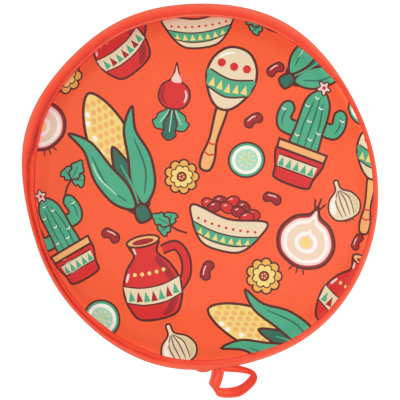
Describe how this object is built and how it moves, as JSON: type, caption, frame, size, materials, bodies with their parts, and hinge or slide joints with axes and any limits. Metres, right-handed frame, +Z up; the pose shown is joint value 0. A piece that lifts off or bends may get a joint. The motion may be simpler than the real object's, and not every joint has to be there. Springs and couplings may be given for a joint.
{
  "type": "tortilla warmer pouch",
  "caption": "Round padded fabric pouch that keeps tortillas warm: bound rim, wide open mouth under a lifting front flap, and a hanging loop of the same tape.",
  "frame": {"origin": "centre of the flat back, on the surface that the pouch lies on", "axes": "+Z up out of the printed front, +Y towards the middle of the mouth, +X to the right seen from above"},
  "size_m": [0.3048, 0.3309, 0.0216],
  "materials": {
    "printed_cloth": "smooth printed polyester with a faint satin sheen",
    "batting": "soft polyester wadding",
    "lining": "plain woven off-white lining",
    "binding_tape": "folded woven tape",
    "thread": "matching sewing thread"
  },
  "bodies": {
    "pouch": {"back_outer_fabric": "printed_cloth", "back_batting": "batting", "back_lining": "lining", "back_mouth_binding": "binding_tape", "back_mouth_stitching": "thread", "front_outer_fabric": "printed_cloth", "front_batting": "batting", "front_lining": "lining", "rim_binding": "binding_tape", "rim_stitching": "thread", "loop_bartack": "thread"},
    "mouth_flap": {"flap_outer_fabric": "printed_cloth", "flap_batting": "batting", "flap_lining": "lining", "front_mouth_binding": "binding_tape", "front_mouth_stitching": "thread"},
    "loop": {"hanging_loop": "binding_tape", "loop_stitching": "thread"}
  },
  "joints": [
    {"name": "mouth_fold", "type": "hinge", "parent": "pouch", "child": "mouth_flap", "pos_m": [0, 0.06441, 0.01974], "axis": [1, 0, 0], "range_deg": [-4.5, 75]},
    {"name": "loop_swing", "type": "hinge", "parent": "pouch", "child": "loop", "pos_m": [-0.01341, -0.15331, 0.0011], "axis": [-0.9962, 0.0872, 0], "range_deg": [0, 90]}
  ]
}
